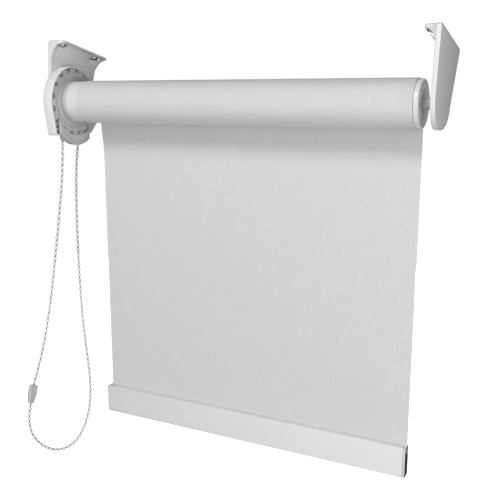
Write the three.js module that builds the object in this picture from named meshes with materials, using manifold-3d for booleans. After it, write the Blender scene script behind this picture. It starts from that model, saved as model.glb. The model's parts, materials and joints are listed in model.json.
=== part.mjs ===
// Roller blind with a side chain control: two brackets, a clutch with its chain wheel, a roller tube,
// the fabric with its hem bar, and a closed loop of bead chain.
// Millimetres, +Z up. X runs along the roller from the control bracket to the idle bracket, and +Y
// points to the window side. The origin is on the control bracket's ceiling face, above the roller.

import * as THREE from "three";
import { mergeVertices } from "three/addons/utils/BufferGeometryUtils.js";
import Module from "manifold-3d";

const wasm = await Module();
wasm.setup();

// ---------------------------------------------------------------- driving dimensions
const gap = 0.3; // between pieces that touch, and between pieces that run on each other
const round = 48; // segments of a large circle
const small = 24; // segments of a small circle

// fabric and roller
const fabricWidth = 366.7;
const fabricThickness = 0.42;
const dropLength = 342.8; // roller axis to the top of the hem bar
const tubeRadius = 22.2;
const tubeWall = 1.5;
const tubeRibHeight = 1.1;
const tubeRibWidth = 2.6;
const tubeRibCount = 3;
const bareTube = 15.4; // tube that shows between the clutch and the fabric
const rollRadius = tubeRadius + gap + fabricThickness; // one safety wrap stays on the tube
const tapeWidth = 5;
const tapeThickness = 0.3;
const tapeSink = 0.15; // tape face below the tube's surface

// brackets
const bracketTilt = 12; // degrees that both brackets lean back about the roller axis
const bracketNeckHeight = 2; // above the roller axis, where the straight sides end
const bracketFoot = 25; // below the roller axis
const bracketToe = 12; // the foot's lowest point, in front of the roller axis
const bracketCorner = 3;
const flangeThickness = 3.2;
const filletDrop = 19; // height of the hollow fillet between flange and plate
// plate: its thickness. flange: depth at the ceiling, plate included. front and back: from the
// axis to each side at the ceiling, and neckFront and neckBack at the neck. setback: the flange
// starts this far behind the plate's front. corner: the flange's front corner. screwX: from the
// plate's face. screwY: both screws, from the axis.
const control = {
  plate: 4.5, flange: 20, front: 33, back: 46, neckFront: 25, neckBack: 45,
  setback: 0, corner: 8, screwX: 9, screwY: [-25, 31],
};
const idle = {
  plate: 4.5, flange: 15.5, front: 38, back: 48, neckFront: 35.5, neckBack: 29,
  setback: 4, corner: 2, screwX: 4.9, screwY: [-27, 29],
};
const seatRoom = 0.9; // around the screw head
const screwHeadRadius = 5.6;
const screwHeadHeight = 2.6;
const screwShankRadius = 2.1;
const recessDepth = 1.3;
const recessWidth = 1.3;
const recessLength = 5.6;

// chain wheel
const sprocketStart = 2.6; // from the control plate's inner face
const hubStep = 0.9; // between the wheel's face and the drive sleeve's rim
const farFlange = 1;
const nearFlange = 3;
const beadRadius = 2.25;
const chainGroove = 2 * beadRadius + 0.9;
const sprocketDepth = farFlange + chainGroove + nearFlange;
const chainPitchRadius = 31;
const flangeRise = 5.6; // the flanges stand above the chain's middle line
const sprocketRadius = chainPitchRadius + flangeRise;
const notchCount = 16;
const notchRadius = 3.1;
const notchCentreRadius = sprocketRadius - 1.2;
const notchDepth = 5;
const dishOuter = 29.2;
const dishInner = 25;
const dishDepth = 1.5;
const dishSlope = 1.4;
const lipRadius = 23;

// clutch housing and chain guard
const housingWall = 1.7;
const housingRoom = 0.5; // around the chain wheel
const housingRadius = sprocketRadius + housingRoom + housingWall;
const bracketHeight = housingRadius + 22.2; // roller axis to the ceiling face, clear of the housing
const housingBack = 2;
const housingDepth = 12;
const housingFoot = sprocketRadius - 0.6; // below the roller axis
const housingSideFoot = housingRadius - 5.8; // half width at the foot of the front side
const housingHeel = [housingRadius + 0.7, -24]; // back corner, where the outline turns in to the foot
const housingToe = 28;
const chainMouth = [-24.5, 18.5]; // opening for the two strands, along Y
const guardRadius = sprocketRadius - 0.8;
const guardCentreZ = -12;
const guardThickness = 3.3;
const guardEnds = [-29, 20];
const guardGrooveRadii = [guardRadius - 4.6, guardRadius - 1.6];
const guardGrooveWidth = 0.8;
const guardGrooveDepth = 0.7;

// clutch inside the tube
const coreRadius = 9;
const coreLength = 56;
const coreBore = 2.6;
const boltRadius = 2.3;
const boltHeadRadius = 4.6;
const boltHeadDepth = 2.1; // countersunk in the control bracket
const boltSocketRadius = 1.5;
const boltSocketDepth = 1.6;
const boltLength = 18;
const coreScrewLength = 14; // in the core
const coreScrewHead = 2.8;
const coreScrewSlot = 1.2; // width and depth
const springPitch = 1.9;
const springTurns = 4;
const springWire = 1.2;
const springRoom = 0.15; // between a spring and the core, on top of the gap
const springStarts = [27, 39];
const clawRoom = 0.75; // between the springs and the claw
const clawWall = 2;
const clawInner = coreRadius + gap + springRoom + springWire + clawRoom;
const clawOuter = clawInner + clawWall;
const clawStart = 25;
const clawEnd = 49;
const clawOpening = 3; // the claw's two edges stop this far above the axis
const sleeveBore = clawOuter + 2 * gap;
const sleeveRim = tubeRadius + 0.4;
const sleeveRimWidth = 4.2;
const sleeveLength = 44.6;
const sleeveRibHalf = 2; // the rib that reaches into the claw's opening
const bearingLength = 4.7;
const washerRadius = sleeveBore - 1.4;
const washerThickness = 1.2;

// idle end
const plugLength = 40;
const plugRim = tubeRadius - 0.1;
const plugRimWidth = 4.7;
const plugLip = 3; // width of the rim's raised edge
const plugChamfer = 0.8;
const plugBore = 9;
const plugFloor = 4;
const keySlotAngles = [62, 298];
const keySlotSize = [1.9, 2.8, 2.4];
const bushLength = 13;
const pinRadius = 5.5;
const pinTipRadius = 3.5;
const pinTipLength = 3.2;
const pinCollarRadius = 8.5;
const pinCollarWidth = 2.5;
const pinStubRadius = 2.4;
const pinStubLength = 8;
const pinChamfer = 0.6;
const pinReach = 12.5; // shaft that shows between the plug's rim and the idle bracket
const coilRadius = 5;
const coilWire = 1;
const coilTurns = 7;

// chain connector
const connectorWidth = 10;
const connectorEnd = 4.8;
const connectorShoulder = 0.55; // share of its length that keeps the full width
const connectorThickness = 4;
const connectorFacing = [0.35, 1, 0]; // roughly the direction that its width points

// hem bar
const hemHeight = 32.6;
const hemDepth = 12;
const hemWall = 1.4;
const hemOverhang = 2; // past the fabric's edge on the control side
const hemShort = 2.5; // inside the fabric's edge on the idle side
const hemCapWidth = 2;
const hemSlot = 1.5;
const hemCorner = 1.6;
const splineRadius = 2.2;
const splineRoom = 2.7;
const splineDepth = 5.2; // hem bar's top to the spline's centre
const sheetFootRoom = 0.5; // between the sheet's lower edge and the spline
const capTongue = 8;
const tongueCorner = 0.5;

// ---------------------------------------------------------------- places along X
const housingStart = gap;
const sprocketEnd = sprocketStart + sprocketDepth;
const chainX = sprocketStart + farFlange + chainGroove / 2;
const sleeveStart = sprocketEnd + hubStep;
const tubeStart = sleeveStart + sleeveRimWidth + gap;
const coreEnd = housingStart + coreLength;
const fabricStart = tubeStart + bareTube;
const fabricEnd = fabricStart + fabricWidth;
const tubeEnd = fabricEnd;
const plugStart = tubeEnd - plugLength;
const plugFace = tubeEnd + gap + plugRimWidth;
const bushStart = plugFace - plugChamfer - bushLength;
const idleFace = plugFace + pinReach + gap; // inner face of the idle bracket

// ---------------------------------------------------------------- places across the roller
const sheetY = rollRadius + gap; // near face of the hanging fabric
const hemY = sheetY + fabricThickness / 2;
const hemTop = -dropLength;
const splineZ = hemTop - splineDepth;

// ---------------------------------------------------------------- materials
function finish(color, roughness, metalness = 0) {
  return new THREE.MeshStandardMaterial({ color, roughness, metalness });
}
const whitePlastic = () => finish(0xe9e9e7, 0.32);
const greyPlastic = () => finish(0xcfd0d1, 0.45);
const darkPlastic = () => finish(0x4a4b4d, 0.5);
const fabric = () => finish(0xdedfe0, 0.85);
const aluminium = () => finish(0xe3e4e6, 0.35, 0.3);
const steel = () => finish(0xb9bbbe, 0.3, 1);

// ---------------------------------------------------------------- solids
function solid(geometry) {
  const plain = geometry.index ? geometry.toNonIndexed() : geometry.clone();
  plain.deleteAttribute("normal");
  plain.deleteAttribute("uv");
  const merged = mergeVertices(plain, 1e-4);
  const vertProperties = merged.attributes.position.array;
  const triVerts = new Uint32Array(merged.index.array);
  return new wasm.Manifold(new wasm.Mesh({ numProp: 3, vertProperties, triVerts }));
}

function geometryOf(manifold) {
  const mesh = manifold.getMesh();
  const geometry = new THREE.BufferGeometry();
  const positions = new Float32Array(mesh.vertProperties);
  geometry.setAttribute("position", new THREE.BufferAttribute(positions, 3));
  geometry.setIndex(new THREE.BufferAttribute(new Uint32Array(mesh.triVerts), 1));
  const flat = geometry.toNonIndexed();
  flat.computeVertexNormals();
  return flat;
}

// Turned about the X axis: [radius, x] points, closed on themselves unless they start on the axis.
function turned(points, segments = round) {
  const closed = points[0][0] > 0;
  const profile = points.map(([r, x]) => new THREE.Vector2(r, x));
  if (closed) profile.push(profile[0].clone());
  return new THREE.LatheGeometry(profile, segments).rotateZ(-Math.PI / 2);
}

// A ring about the X axis between two radii and two stations.
function ring(inner, outer, from, to, segments = round) {
  const corners = [[inner, from], [outer, from], [outer, to], [inner, to]];
  return turned(corners, segments);
}

function disc(radius, from, to, segments = round) {
  return turned([[0, from], [radius, from], [radius, to], [0, to]], segments);
}

// A Y-Z outline extruded along X.
const alongX = new THREE.Matrix4().makeBasis(
  new THREE.Vector3(0, 1, 0),
  new THREE.Vector3(0, 0, 1),
  new THREE.Vector3(1, 0, 0),
);
function slab(shape, from, to, curveSegments = small) {
  const options = { depth: to - from, bevelEnabled: false, curveSegments };
  return new THREE.ExtrudeGeometry(shape, options).applyMatrix4(alongX).translate(from, 0, 0);
}

function block(x, y, z) {
  const [width, depth, height] = [x, y, z].map(([low, high]) => high - low);
  const centre = [x, y, z].map(([low, high]) => (low + high) / 2);
  return new THREE.BoxGeometry(width, depth, height).translate(...centre);
}

function outline(points) {
  return new THREE.Shape(points.map(([u, v]) => new THREE.Vector2(u, v)));
}

// Points of an arc about (cy, cz), angles in degrees from +Y towards +Z.
function arc(radius, from, to, steps, cy = 0, cz = 0) {
  return Array.from({ length: steps + 1 }, (_, i) => {
    const angle = THREE.MathUtils.degToRad(from + ((to - from) * i) / steps);
    return [cy + radius * Math.cos(angle), cz + radius * Math.sin(angle)];
  });
}

function roundedRectangle(width, height, corner, cy = 0, cz = 0) {
  const [y, z] = [width / 2 - corner, height / 2 - corner];
  return outline([
    ...arc(corner, 0, 90, 5, cy + y, cz + z),
    ...arc(corner, 90, 180, 5, cy - y, cz + z),
    ...arc(corner, 180, 270, 5, cy - y, cz - z),
    ...arc(corner, 270, 360, 5, cy + y, cz - z),
  ]);
}

// A bar of the given section along a smooth curve.
function alongCurve(curve, section, steps) {
  const options = { steps, bevelEnabled: false, extrudePath: curve };
  return new THREE.ExtrudeGeometry(section, options);
}

function polygon(radius, sides) {
  return outline(arc(radius, 0, 360 - 360 / sides, sides - 1));
}

// ---------------------------------------------------------------- scene helpers
const blind = new THREE.Group();
const leaning = new THREE.Group();
leaning.rotation.x = -THREE.MathUtils.degToRad(bracketTilt);
blind.add(leaning);

function add(name, shape, material, parent = blind) {
  const geometry = shape.getMesh ? geometryOf(shape) : shape;
  const mesh = new THREE.Mesh(geometry, material);
  mesh.name = name;
  parent.add(mesh);
  return mesh;
}

// ---------------------------------------------------------------- brackets
// Shield outline: straight sides from the ceiling to the neck, and a foot of two quarter ellipses.
function bracketShield({ front, back, neckFront, neckBack }) {
  const quarter = (reach, from, to) =>
    Array.from({ length: 10 }, (_, i) => {
      const angle = THREE.MathUtils.degToRad(from + ((to - from) * i) / 9);
      const drop = (bracketNeckHeight + bracketFoot) * Math.sin(angle);
      return [-bracketToe + reach * Math.cos(angle), bracketNeckHeight - drop];
    });
  const top = bracketHeight - bracketCorner;
  return outline([
    ...arc(bracketCorner, 0, 90, 4, back - bracketCorner, top),
    ...arc(bracketCorner, 90, 180, 4, -front + bracketCorner, top),
    ...quarter(neckFront - bracketToe, 180, 90).slice(0, -1),
    ...quarter(neckBack + bracketToe, 90, 0),
  ]);
}

// Plate, ceiling flange and the hollow fillet between them, as an X-Z profile along Y.
// The plate's inner face is at x = 0 and the flange points to +X.
function bracketProfile({ plate, flange }) {
  const reach = flange - plate;
  const under = bracketHeight - flangeThickness;
  const fillet = Array.from({ length: 11 }, (_, i) => {
    const angle = (Math.PI / 2) * (1 - i / 10);
    return [reach * (1 - Math.sin(angle)), under - filletDrop * (1 - Math.cos(angle))];
  });
  const low = -bracketFoot - 1;
  return outline([[-plate, low], [0, low], ...fillet, [reach, bracketHeight], [-plate, bracketHeight]]);
}

// Seen from the ceiling: the flange steps back from the plate's front and has a round front corner.
function bracketPlan({ plate, flange, front, back, setback, corner }) {
  const reach = flange - plate;
  const start = -front + setback;
  return outline([
    [-plate, -front],
    [0, -front],
    [0, start],
    ...arc(corner, 270, 360, 6, reach - corner, start + corner),
    [reach, back],
    [-plate, back],
  ]);
}

function bracketBlank(bracket) {
  const { plate, flange, front, back } = bracket;
  const profile = new THREE.ExtrudeGeometry(bracketProfile(bracket), {
    depth: front + back,
    bevelEnabled: false,
  });
  profile.rotateX(Math.PI / 2).translate(0, back, 0);
  const plan = new THREE.ExtrudeGeometry(bracketPlan(bracket), {
    depth: bracketHeight + bracketFoot + 2,
    bevelEnabled: false,
  });
  plan.translate(0, 0, -bracketFoot - 1);
  return solid(profile)
    .intersect(solid(plan))
    .intersect(solid(slab(bracketShield(bracket), -plate, flange - plate)));
}

function upright(radius, x, y, from, to) {
  const post = new THREE.CylinderGeometry(radius, radius, to - from, small);
  return solid(post.rotateX(Math.PI / 2).translate(x, y, (from + to) / 2));
}

// Screw seats: a hole through the flange and a counterbore from below, for each screw.
function cutScrewSeats(blank, { screwX, screwY }) {
  const under = bracketHeight - flangeThickness;
  return screwY.reduce((body, y) => {
    const hole = upright(screwShankRadius + gap, screwX, y, under - 1, bracketHeight + 1);
    const seat = upright(screwHeadRadius + seatRoom, screwX, y, under - filletDrop - 1, under);
    return body.subtract(hole).subtract(seat);
  }, blank);
}

// Pan head screw with a cross recess, head down under the flange.
function panScrew(x, y) {
  const seat = bracketHeight - flangeThickness - gap;
  const headPoints = [
    [0, -screwHeadHeight],
    [screwHeadRadius * 0.62, -screwHeadHeight * 0.92],
    [screwHeadRadius * 0.9, -screwHeadHeight * 0.6],
    [screwHeadRadius, -screwHeadHeight * 0.2],
    [screwHeadRadius, 0],
    [screwShankRadius, 0],
    [screwShankRadius, flangeThickness],
    [0, flangeThickness],
  ].map(([r, z]) => new THREE.Vector2(r, z));
  const body = new THREE.LatheGeometry(headPoints, 18).rotateX(Math.PI / 2).translate(x, y, seat);
  const low = [seat - screwHeadHeight - 1, seat - screwHeadHeight + recessDepth];
  const slot = (long, wide) => block([x - long / 2, x + long / 2], [y - wide / 2, y + wide / 2], low);
  const recess = solid(slot(recessLength, recessWidth)).add(solid(slot(recessWidth, recessLength)));
  return solid(body).subtract(recess);
}

function addBracketScrews(side, x, [front, back]) {
  add(`${side}_bracket_screw_front`, panScrew(x, front), steel(), leaning);
  add(`${side}_bracket_screw_back`, panScrew(x, back), steel(), leaning);
}

function addControlBracket() {
  const outer = -control.plate;
  const countersink = turned([
    [0, outer - 1],
    [boltHeadRadius + gap + 1, outer - 1],
    [boltHeadRadius + gap, outer],
    [boltRadius + gap, outer + boltHeadDepth + 2 * gap],
    [boltRadius + gap, 1],
    [0, 1],
  ], small);
  const bracket = cutScrewSeats(bracketBlank(control), control).subtract(solid(countersink));
  add("control_bracket", bracket, whitePlastic(), leaning);
  addBracketScrews("control", control.screwX, control.screwY);
}

function addIdleBracket() {
  const socket = disc(pinTipRadius + gap, -pinTipLength - gap, 1, small);
  const bracket = cutScrewSeats(bracketBlank(idle), idle)
    .subtract(solid(socket))
    .mirror([1, 0, 0])
    .translate([idleFace, 0, 0]);
  add("idle_bracket", bracket, whitePlastic(), leaning);
  addBracketScrews("idle", idleFace - idle.screwX, idle.screwY);
}

// ---------------------------------------------------------------- clutch
// Outline of the housing: round over the wheel, with a foot around the two strands of chain.
function housingOutline(inset) {
  const radius = housingRadius - inset;
  const side = housingSideFoot - inset;
  const foot = -housingFoot + inset;
  return outline([
    ...arc(radius, -18, 190, 42),
    [-side, foot],
    [housingToe - inset / 2, foot],
    [housingHeel[0] - inset, housingHeel[1] + inset / 2],
  ]);
}

function addHousing() {
  const floor = housingStart + housingBack;
  const end = housingStart + housingDepth;
  const shell = solid(slab(housingOutline(0), housingStart, end))
    .subtract(solid(slab(housingOutline(housingWall), floor, end + 1)))
    .subtract(solid(block([floor, end + 1], chainMouth, [-housingFoot - 1, -housingFoot + housingWall + 1])))
    .subtract(solid(disc(coreRadius + gap, housingStart - 1, floor + 1)));
  add("clutch_housing", shell, whitePlastic());
}

// Skirt in front of the chain, under the wheel, with two shallow grooves that follow its edge.
function addGuard() {
  const start = housingStart + housingDepth + gap;
  const end = start + guardThickness;
  const skirtStart = start - guardThickness;
  const edge = arc(guardRadius, 205, 335, 26, 0, guardCentreZ);
  const skirt = solid(slab(outline(edge), skirtStart, end))
    .intersect(solid(block([skirtStart, end], guardEnds, [-2 * guardRadius, 0])));
  const housing = solid(slab(housingOutline(-gap), skirtStart - 1, start));
  const wheel = solid(disc(sprocketRadius + gap, skirtStart - 1, end + 1));
  const guard = guardGrooveRadii.reduce((body, radius) => {
    const groove = ring(radius, radius + guardGrooveWidth, end - guardGrooveDepth, end + 1);
    return body.subtract(solid(groove.translate(0, 0, guardCentreZ)));
  }, skirt.subtract(housing).subtract(wheel));
  add("chain_guard", guard, greyPlastic());
}

function addSprocket() {
  const [start, end] = [sprocketStart, sprocketEnd];
  const grooveFloor = chainPitchRadius - beadRadius - gap;
  const grooveStart = start + farFlange;
  const bore = coreRadius + gap;
  const body = turned([
    [bore, start],
    [sprocketRadius, start],
    [sprocketRadius, grooveStart],
    [grooveFloor, grooveStart],
    [grooveFloor, grooveStart + chainGroove],
    [sprocketRadius, grooveStart + chainGroove],
    [sprocketRadius, end],
    [dishOuter, end],
    [dishOuter - dishSlope, end - dishDepth],
    [dishInner, end - dishDepth],
    [dishInner - 1, end],
    [lipRadius, end + gap],
    [clawOuter, end + gap],
    [clawOuter, clawEnd],
    [clawInner, clawEnd],
    [clawInner, clawStart],
    [bore, clawStart],
  ]);
  const across = [-clawOuter, clawOuter];
  const clawGap = block([clawStart, clawEnd + 1], across, [-clawOuter - 1, clawOpening]);
  const notches = Array.from({ length: notchCount }, (_, i) => {
    const [y, z] = arc(notchCentreRadius, (360 / notchCount) * (i + 0.5), 0, 1)[0];
    return solid(disc(notchRadius, end - notchDepth, end + 1, 12).translate(0, y, z));
  });
  const blank = solid(body).subtract(solid(clawGap));
  add("sprocket", notches.reduce((wheel, notch) => wheel.subtract(notch), blank), greyPlastic());
}

class Helix extends THREE.Curve {
  constructor(radius, pitch, turns, start) {
    super();
    Object.assign(this, { radius, pitch, turns, start });
  }

  getPoint(t, target = new THREE.Vector3()) {
    const angle = 2 * Math.PI * this.turns * t;
    const x = this.start + this.pitch * this.turns * t;
    return target.set(x, this.radius * Math.cos(angle), this.radius * Math.sin(angle));
  }
}

function coil(radius, wire, pitch, turns, start, stepsPerTurn) {
  const middle = new Helix(radius, pitch, turns, start);
  return alongCurve(middle, polygon(wire / 2, 5), turns * stepsPerTurn);
}

function addWrapSprings() {
  const radius = coreRadius + gap + springWire / 2 + springRoom;
  springStarts.forEach((start, i) => {
    const spring = coil(radius, springWire, springPitch, springTurns, start, 16);
    add(`wrap_spring_${i + 1}`, spring, steel());
  });
}

function addCore() {
  add("clutch_core", ring(coreBore, coreRadius, housingStart, coreEnd), darkPlastic());
  const washer = ring(coreBore, washerRadius, coreEnd + gap, coreEnd + gap + washerThickness);
  add("core_washer", washer, steel());
  const seat = coreEnd + washerThickness + 2 * gap;
  const head = seat + coreScrewHead;
  const screw = turned([
    [0, coreEnd - coreScrewLength],
    [boltRadius, coreEnd - coreScrewLength],
    [boltRadius, seat],
    [boltHeadRadius, seat],
    [boltHeadRadius, head - gap],
    [0, head],
  ], small);
  const half = coreScrewSlot / 2;
  const slot = block([head - coreScrewSlot, head + 1], [-boltHeadRadius, boltHeadRadius], [-half, half]);
  add("core_screw", solid(screw).subtract(solid(slot)), steel());
  const flush = -control.plate + gap;
  const bolt = turned([
    [0, flush],
    [boltHeadRadius - 2 * gap, flush],
    [boltRadius, flush + boltHeadDepth],
    [boltRadius, boltLength],
    [0, boltLength],
  ], small);
  const socket = disc(boltSocketRadius, flush - 1, flush + boltSocketDepth, 6);
  add("clutch_bolt", solid(bolt).subtract(solid(socket)), steel());
}

// ---------------------------------------------------------------- roller
// Round outline with a dent for each rib of the tube; inset makes the piece that fits inside.
function ribbedCircle(radius, inset) {
  const ribTop = radius - tubeRibHeight;
  const half = tubeRibWidth / 2 + inset;
  return Array.from({ length: tubeRibCount }).flatMap((_, i) => {
    const centre = 90 + (360 / tubeRibCount) * i;
    const next = centre + 360 / tubeRibCount;
    const spread = THREE.MathUtils.radToDeg(Math.asin(half / (radius - inset)));
    const low = THREE.MathUtils.radToDeg(Math.asin(half / (ribTop - inset)));
    return [
      ...arc(ribTop - inset, centre - low, centre + low, 2),
      ...arc(radius - inset, centre + spread, next - spread, 14),
    ];
  });
}

function addTube() {
  const tubeShape = outline(arc(tubeRadius, 0, 355, 71));
  const bore = ribbedCircle(tubeRadius - tubeWall, 0).reverse();
  tubeShape.holes.push(new THREE.Path(bore.map(([u, v]) => new THREE.Vector2(u, v))));
  const floor = tubeRadius - tapeSink - tapeThickness - gap;
  const half = tapeWidth / 2;
  const top = tubeRadius + 1;
  const channel = block([tubeStart - 1, tubeEnd + 1], [-half - gap, half + gap], [floor, top]);
  const tube = solid(slab(tubeShape, tubeStart, tubeEnd)).subtract(solid(channel));
  add("roller_tube", tube, aluminium());
  const tapeLow = floor + gap;
  const tape = block([fabricStart, fabricEnd], [-half, half], [tapeLow, tapeLow + tapeThickness]);
  add("fabric_tape", tape, darkPlastic());
  add("fabric_roll", ring(tubeRadius + gap, rollRadius, fabricStart, fabricEnd, 72), fabric());
}

function addDriveSleeve() {
  const rimEnd = sleeveStart + sleeveRimWidth;
  const bodyEnd = tubeStart + sleeveLength;
  const fitted = slab(outline(ribbedCircle(tubeRadius - tubeWall, gap)), rimEnd - 1, bodyEnd);
  const rim = disc(sleeveRim, sleeveStart, rimEnd);
  const bearingEnd = coreEnd - gap;
  const bearingStart = bearingEnd - bearingLength;
  const bore = turned([
    [0, sleeveStart - 1],
    [sleeveBore, sleeveStart - 1],
    [sleeveBore, bearingStart],
    [coreRadius + gap, bearingStart],
    [coreRadius + gap, bearingEnd],
    [sleeveBore, bearingEnd],
    [sleeveBore, bodyEnd + 1],
    [0, bodyEnd + 1],
  ]);
  const ribHeight = [-sleeveBore - 1, -clawInner];
  const rib = block([springStarts[0], bearingStart + 1], [-sleeveRibHalf, sleeveRibHalf], ribHeight);
  const sleeve = solid(fitted).add(solid(rim)).subtract(solid(bore)).add(solid(rib));
  add("drive_sleeve", sleeve, greyPlastic());
}

function addIdlePlug() {
  const fitted = slab(outline(ribbedCircle(tubeRadius - tubeWall, gap)), plugStart, plugFace - 1);
  const rimStart = tubeEnd + gap;
  const web = plugFace - plugChamfer;
  const rim = turned([
    [0, rimStart],
    [plugRim, rimStart],
    [plugRim, web],
    [plugRim - plugChamfer, plugFace],
    [plugRim - plugLip, plugFace],
    [plugRim - plugLip - plugChamfer, web],
    [0, web],
  ]);
  const bore = disc(plugBore, plugStart + plugFloor, plugFace + 1, small);
  const [long, wide, deep] = keySlotSize;
  const middle = (rimStart + plugFace) / 2;
  const keySlots = keySlotAngles.map((angle) => {
    const [y, z] = arc(plugRim, angle, 0, 1)[0];
    const around = (at, size) => [at - size / 2, at + size / 2];
    return solid(block(around(middle, long), around(y, wide), around(z, deep)));
  });
  const blank = solid(fitted).add(solid(rim)).subtract(solid(bore));
  add("idle_end_plug", keySlots.reduce((plug, slot) => plug.subtract(slot), blank), whitePlastic());
  add("pin_bush", ring(pinRadius + gap, plugBore - gap, bushStart, web + gap, small), greyPlastic());
}

// Sprung pin: a stub that guides the spring, a collar inside the bush, the shaft and a short tip.
function addIdlePin() {
  const collarEnd = bushStart - gap;
  const collarStart = collarEnd - pinCollarWidth;
  const shoulder = idleFace - gap;
  const tip = shoulder + pinTipLength;
  const pin = turned([
    [0, collarStart - pinStubLength],
    [pinStubRadius, collarStart - pinStubLength],
    [pinStubRadius, collarStart],
    [pinCollarRadius, collarStart],
    [pinCollarRadius, collarEnd],
    [pinRadius, collarEnd],
    [pinRadius, shoulder - pinChamfer],
    [pinRadius - pinChamfer, shoulder],
    [pinTipRadius, shoulder],
    [pinTipRadius, tip - pinChamfer],
    [pinTipRadius - pinChamfer, tip],
    [0, tip],
  ], small);
  add("idle_pin", pin, greyPlastic());
  const coilStart = plugStart + plugFloor + gap + coilWire / 2;
  const pitch = (collarStart - gap - coilWire / 2 - coilStart) / coilTurns;
  add("pin_spring", coil(coilRadius, coilWire, pitch, coilTurns, coilStart, 12), steel());
}

// ---------------------------------------------------------------- fabric and hem bar
function addSheet() {
  const foot = splineZ + splineRoom + sheetFootRoom;
  const sheet = block([fabricStart, fabricEnd], [sheetY, sheetY + fabricThickness], [foot, 0]);
  add("fabric_sheet", sheet, fabric());
}

// Hollow bar with a round room for the spline and a slot above it, and a cap in each end.
function addHemBar() {
  const barStart = fabricStart - hemOverhang;
  const barEnd = fabricEnd - hemShort;
  const through = [barStart - 1, fabricEnd + 1];
  const section = roundedRectangle(hemDepth, hemHeight, hemCorner, hemY, hemTop - hemHeight / 2);
  const roomTop = splineZ - splineRoom - hemWall;
  const roomFoot = hemTop - hemHeight + hemWall;
  const half = hemDepth / 2 - hemWall;
  const room = block(through, [hemY - half, hemY + half], [roomFoot, roomTop]);
  const pocket = disc(splineRoom, ...through, small).translate(0, hemY, splineZ);
  const slotSides = [hemY - hemSlot / 2, hemY + hemSlot / 2];
  const slot = solid(block(through, slotSides, [splineZ, hemTop + 1]));
  const bar = solid(slab(section, barStart, barEnd))
    .subtract(solid(room))
    .subtract(solid(pocket))
    .subtract(slot);
  add("hem_bar", bar, aluminium());
  add("hem_spline", disc(splineRadius, barStart, barEnd, 16).translate(0, hemY, splineZ), greyPlastic());

  const tongueSize = [2 * (half - gap), roomTop - roomFoot - 2 * gap];
  const tongue = roundedRectangle(...tongueSize, tongueCorner, hemY, (roomTop + roomFoot) / 2);
  const cap = (from, to, tongueFrom, tongueTo) =>
    solid(slab(section, from, to)).add(solid(slab(tongue, tongueFrom, tongueTo)));
  const left = barStart - gap;
  const right = barEnd + gap;
  add("hem_cap_control", cap(left - hemCapWidth, left, left - 1, left + capTongue), whitePlastic());
  const idleCap = cap(right, right + hemCapWidth, right - capTongue, right + 1).subtract(slot);
  add("hem_cap_idle", idleCap, darkPlastic());
}

// ---------------------------------------------------------------- bead chain
// Routes of the bead chain's middle line, [x, y, z] from the control plate and the roller axis.
const frontStrand = [
  [6.3, -17, -46], [6.3, -17.2, -50], [6.2, -18.6, -64], [5.6, -20.4, -86], [4.5, -24.6, -115],
  [1.7, -32, -165], [-2.7, -39.9, -220], [-8, -48.4, -269], [-12.4, -55.6, -299],
  [-16.6, -61.2, -320.6],
];
const backStrand = [
  [-19, -65.8, -343.8], [-20.2, -68.4, -362], [-19.2, -66, -381], [-15.1, -55.7, -398.5], [-9, -40, -410.5],
  [-2.6, -24, -412.5], [2.6, -11, -405], [7, -0.5, -388], [9.6, 5.6, -364], [10.4, 7.2, -338],
  [9.6, 5.7, -309], [7.7, 2.2, -257], [6.9, 0.6, -195], [6.6, 1.2, -135], [6.4, 3.6, -88], [6.3, 6.6, -64],
  [6.3, 9.2, -50], [6.3, 9.5, -46],
];

function beadTube(points, steps) {
  const through = points.map((point) => new THREE.Vector3(...point));
  const curve = new THREE.CatmullRomCurve3(through, false, "centripetal");
  return alongCurve(curve, polygon(beadRadius, 8), steps);
}

// Inside the housing the chain runs up behind the wheel, over it and down again. It meets both
// strands end to end, straight down.
function addChain() {
  const [frontTop, backTop] = [frontStrand[0], backStrand[backStrand.length - 1]];
  const meet = 2 * gap;
  const up = [[0, meet], [0, 4], [5, 12], [14.5, 21.5]].map(([y, z]) => [backTop[1] + y, backTop[2] + z]);
  const down = [[-8, 21.5], [-4, 12], [0, 4], [0, meet]].map(([y, z]) => [frontTop[1] + y, frontTop[2] + z]);
  const inside = [...up, ...arc(chainPitchRadius, -22, 202, 32), ...down];
  const route = inside.map(([y, z]) => [chainX, y, z]);
  add("chain_over_sprocket", beadTube(route, 44), whitePlastic());
  add("chain_front", beadTube(frontStrand, 26), whitePlastic());
  add("chain_back", beadTube(backStrand, 44), whitePlastic());
}

// Flat clip that joins the chain's ends, wide at the top and narrower below.
function addConnector() {
  const from = new THREE.Vector3(...frontStrand[frontStrand.length - 1]);
  const to = new THREE.Vector3(...backStrand[0]);
  const axis = to.clone().sub(from).normalize();
  const endGap = 2 * gap;
  const length = from.distanceTo(to) - 2 * endGap;
  const [half, endHalf] = [connectorWidth / 2, connectorEnd / 2];
  const shoulder = length * connectorShoulder;
  const side = [[half - 1, 0], [half, 1.5], [half, shoulder], [endHalf + 0.6, length - 1], [endHalf, length]];
  const clip = outline([...side, ...side.map(([u, v]) => [-u, v]).reverse()]);
  const options = { depth: connectorThickness, bevelEnabled: false };
  const geometry = new THREE.ExtrudeGeometry(clip, options).translate(0, 0, -connectorThickness / 2);
  const across = new THREE.Vector3(...connectorFacing);
  const wide = across.sub(axis.clone().multiplyScalar(across.dot(axis))).normalize();
  geometry.applyMatrix4(new THREE.Matrix4().makeBasis(wide, axis, wide.clone().cross(axis)));
  geometry.translate(...from.addScaledVector(axis, endGap).toArray());
  add("chain_connector", geometry, whitePlastic());
}

// ---------------------------------------------------------------- assembly
addControlBracket();
addIdleBracket();
addHousing();
addGuard();
addSprocket();
addWrapSprings();
addCore();
addDriveSleeve();
addTube();
addIdlePlug();
addIdlePin();
addSheet();
addHemBar();
addChain();
addConnector();

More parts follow.
